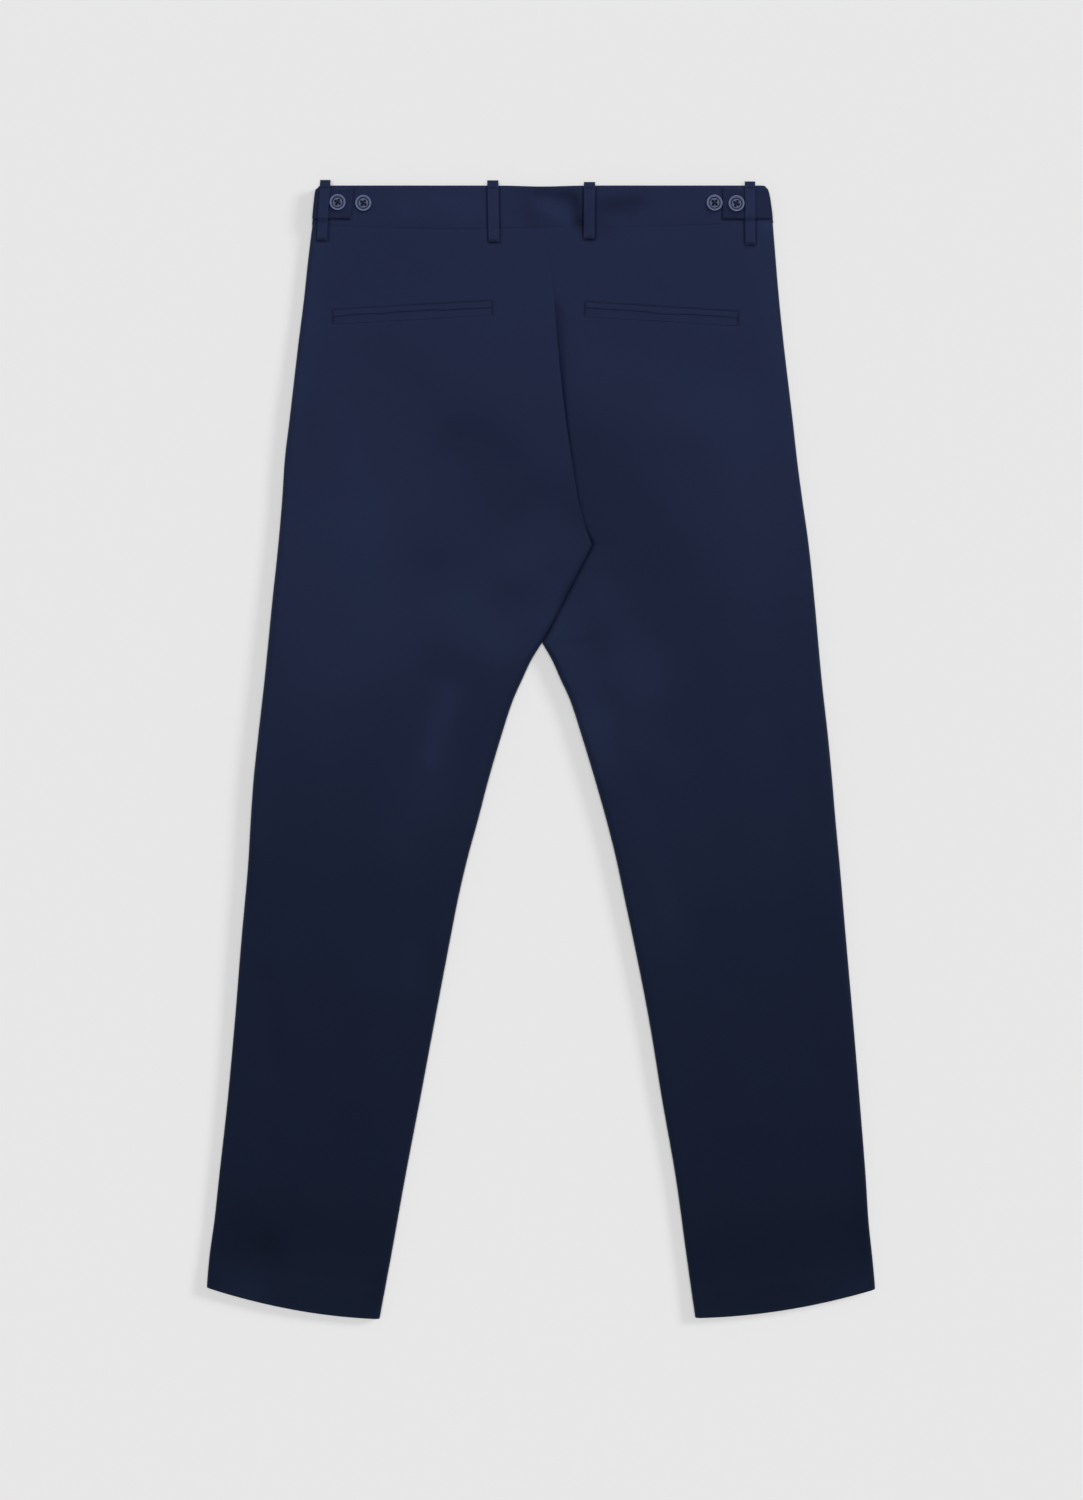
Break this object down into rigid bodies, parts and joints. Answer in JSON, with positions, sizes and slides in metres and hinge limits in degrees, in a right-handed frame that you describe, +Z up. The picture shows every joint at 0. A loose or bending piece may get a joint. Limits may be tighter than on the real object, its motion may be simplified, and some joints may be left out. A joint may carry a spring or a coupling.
{
  "type": "chino trousers",
  "caption": "Chino trousers laid flat face down, seat up, with jetted back pockets, belt loops and buttoned adjuster tabs at the waist.",
  "frame": {"origin": "on the surface that the trousers rest on, under the middle of their outline", "axes": "+Y from the hems to the waist, +X towards the wearer's right side, +Z up from the surface, seat up"},
  "size_m": [0.6288, 1.0704, 0.0162],
  "materials": {
    "twill": "navy cotton twill, matt with a slight sheen",
    "button": "polished grey-violet resin",
    "zip_tape": "navy woven tape",
    "metal": "satin"
  },
  "bodies": {
    "root": {"back_left": "twill", "back_right": "twill", "front_left": "twill", "front_right": "twill", "waistband_back": "twill", "waistband_front_left": "twill", "waistband_front_right": "twill", "belt_loop_left": "twill", "belt_loop_back_left": "twill", "belt_loop_back_right": "twill", "belt_loop_right": "twill", "belt_loop_front_left": "twill", "belt_loop_front_right": "twill", "adjuster_tab_left": "twill", "adjuster_tab_right": "twill", "pocket_left_upper_jet": "twill", "pocket_left_lower_jet": "twill", "pocket_right_upper_jet": "twill", "pocket_right_lower_jet": "twill", "adjuster_button_left_outer": "button", "adjuster_button_left_inner": "button", "adjuster_button_right_inner": "button", "adjuster_button_right_outer": "button", "fly_zip": "zip_tape", "zip_slider": "metal", "waist_hook": "metal", "waist_bar": "metal"}
  },
  "joints": []
}
